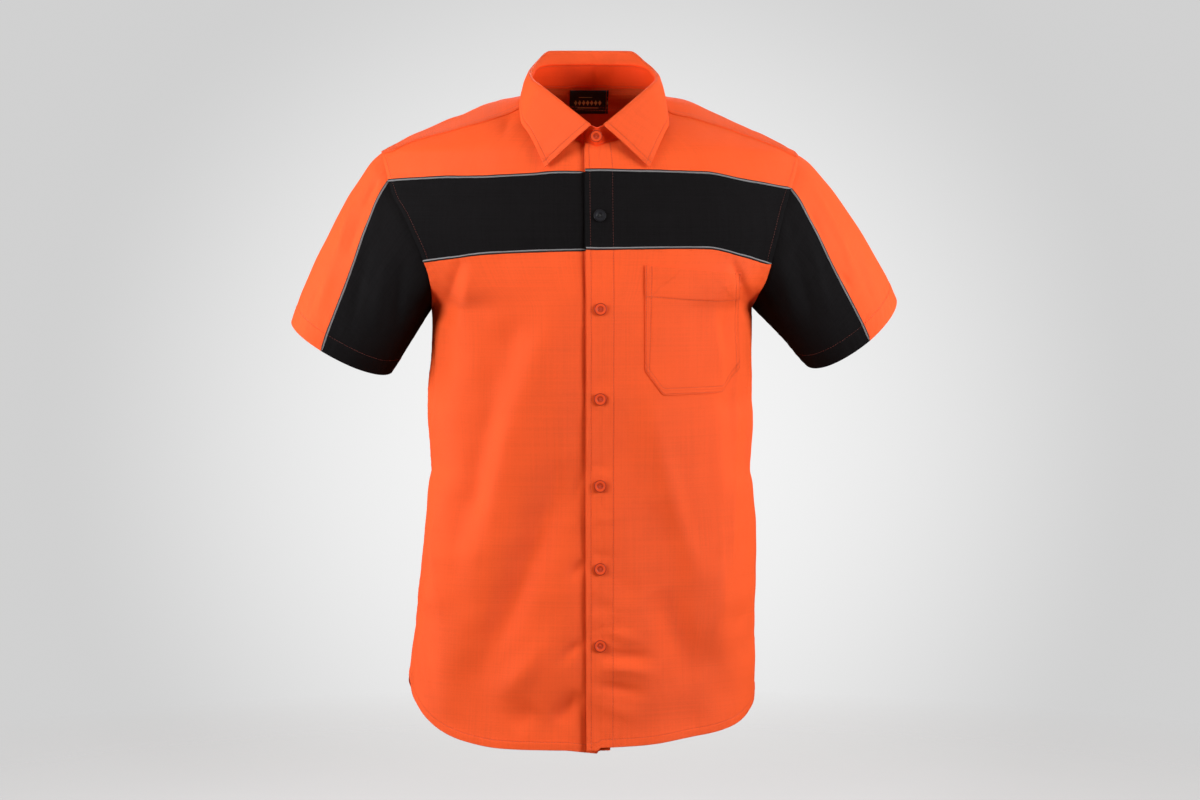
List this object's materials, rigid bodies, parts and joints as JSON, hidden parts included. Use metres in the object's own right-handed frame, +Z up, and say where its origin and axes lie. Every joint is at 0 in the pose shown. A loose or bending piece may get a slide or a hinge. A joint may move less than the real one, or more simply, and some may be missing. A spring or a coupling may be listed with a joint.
{
  "type": "mechanic shirt",
  "caption": "Short-sleeved button-front work shirt with a turned-down collar, a dark chest band and sleeve fronts, grey piping, a chest pocket and a curved hem, filled out as worn.",
  "frame": {"origin": "the middle of the wearer's shoulders inside the shirt, level with the top of the shoulder ridge beside the neck, where the shirt hangs from its wearer", "axes": "+Z up, front towards -Y, the wearer's left towards +X"},
  "size_m": [0.6854, 0.2591, 0.802],
  "materials": {
    "orange_cloth": "matt twill with a soft sheen",
    "black_cloth": "matt twill",
    "piping": "satin piping",
    "label_weave": "satin weave",
    "orange_button": "satin gloss",
    "black_button": "satin gloss"
  },
  "bodies": {
    "root": {"back": "orange_cloth", "yoke": "orange_cloth", "front_right_upper": "orange_cloth", "front_right_band": "black_cloth", "front_right_lower": "orange_cloth", "front_left_upper": "orange_cloth", "front_left_band": "black_cloth", "front_left_lower": "orange_cloth", "sleeve_right_top": "orange_cloth", "sleeve_right_front": "black_cloth", "sleeve_left_top": "orange_cloth", "sleeve_left_front": "black_cloth", "collar_stand": "orange_cloth", "collar_leaf": "orange_cloth", "pocket": "orange_cloth", "neck_label": "label_weave", "size_tab": "label_weave", "piping_right_top": "piping", "piping_right_bottom": "piping", "piping_left_top": "piping", "piping_left_bottom": "piping", "piping_sleeve_right": "piping", "piping_sleeve_left": "piping", "button_collar": "orange_button", "button_front_1": "black_button", "button_front_2": "orange_button", "button_front_3": "orange_button", "button_front_4": "orange_button", "button_front_5": "orange_button", "button_front_6": "orange_button"}
  },
  "joints": []
}
